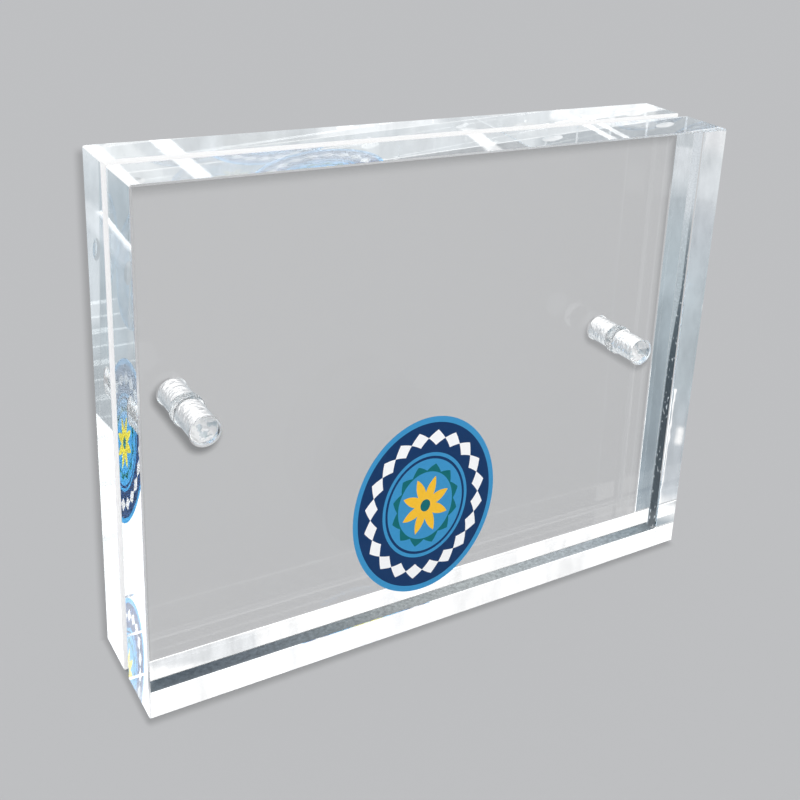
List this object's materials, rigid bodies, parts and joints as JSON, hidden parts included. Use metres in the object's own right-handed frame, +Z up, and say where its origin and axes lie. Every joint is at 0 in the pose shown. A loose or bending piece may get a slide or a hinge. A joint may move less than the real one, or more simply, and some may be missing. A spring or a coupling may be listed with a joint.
{
  "type": "acrylic block frame",
  "caption": "Clear block photo frame: thick polished acrylic slabs stand one behind the other on their long edges, held a small gap apart by shouldered pegs, and pull apart to take a photo.",
  "frame": {"origin": "on the surface the frame stands on, under the middle of its width and depth", "axes": "+X across the width, to the viewer's right; -Y the way the front face looks; +Z up"},
  "size_m": [0.127, 0.0266, 0.1016],
  "materials": {
    "block_acrylic": "clear cast acrylic, polished faces and edges",
    "peg_acrylic": "clear acrylic rod, turned and polished",
    "print_ink": "opaque ink printed on the front face"
  },
  "bodies": {
    "back": {"back_block": "block_acrylic"},
    "front": {"front_block": "block_acrylic"},
    "left_pin": {"left_peg": "peg_acrylic"},
    "right_pin": {"right_peg": "peg_acrylic"}
  },
  "joints": [
    {"name": "front_block_slide", "type": "slide", "parent": "back", "child": "front", "axis": [0, -1, 0], "range_m": [0, 0.024]},
    {"name": "left_peg_slide", "type": "slide", "parent": "back", "child": "left_pin", "axis": [0, -1, 0], "range_m": [0, 0.0108]},
    {"name": "right_peg_slide", "type": "slide", "parent": "back", "child": "right_pin", "axis": [0, -1, 0], "range_m": [0, 0.0108]}
  ],
  "couplings": [
    {"joint": "left_peg_slide", "follows": "front_block_slide", "ratio": 0.45},
    {"joint": "right_peg_slide", "follows": "front_block_slide", "ratio": 0.45}
  ]
}
